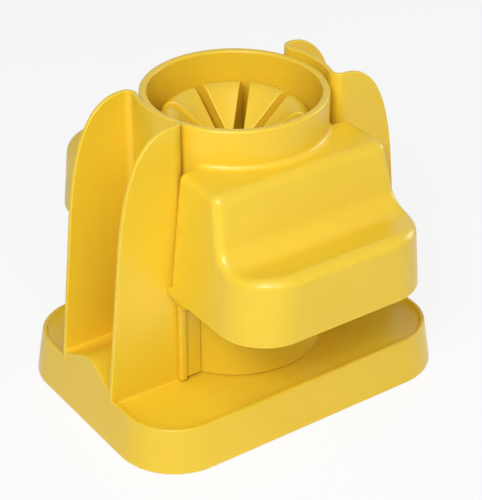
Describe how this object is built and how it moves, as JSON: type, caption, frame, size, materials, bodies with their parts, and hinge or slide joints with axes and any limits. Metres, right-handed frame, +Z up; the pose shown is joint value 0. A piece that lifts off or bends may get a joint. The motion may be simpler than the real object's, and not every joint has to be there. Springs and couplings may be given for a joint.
{
  "type": "fruit wedger",
  "caption": "Push-down fruit wedger: an open cup with a press handle front and rear slides down two finned columns over a slotted finger seat, on a rimmed tray.",
  "frame": {"origin": "on the counter under the middle of the cup, which is the bottom centre of the whole object's box", "axes": "+Z up along the cup and the direction it lifts in; -Y is the front, with one handle; +X is the right column"},
  "size_m": [0.2012, 0.202, 0.176],
  "materials": {
    "yellow_plastic": "smooth moulded, satin gloss, lemon yellow",
    "blade_steel": "ground stainless",
    "screw_steel": "plain stainless",
    "foot_rubber": "matte, dark grey"
  },
  "bodies": {
    "base_and_seat": {"base": "yellow_plastic", "finger_block": "yellow_plastic", "block_screw_1": "screw_steel", "block_screw_2": "screw_steel", "block_screw_3": "screw_steel", "block_screw_4": "screw_steel", "foot_1": "foot_rubber", "foot_2": "foot_rubber", "foot_3": "foot_rubber", "foot_4": "foot_rubber"},
    "cup_and_blades": {"housing": "yellow_plastic", "blade_ring": "blade_steel", "blade_1": "blade_steel", "blade_2": "blade_steel", "blade_3": "blade_steel", "blade_4": "blade_steel", "ring_screw_1": "screw_steel", "ring_screw_2": "screw_steel", "ring_screw_3": "screw_steel", "ring_screw_4": "screw_steel"}
  },
  "joints": [
    {"name": "cup_lift", "type": "slide", "parent": "base_and_seat", "child": "cup_and_blades", "axis": [0, 0, 1], "range_m": [0, 0.16]}
  ]
}
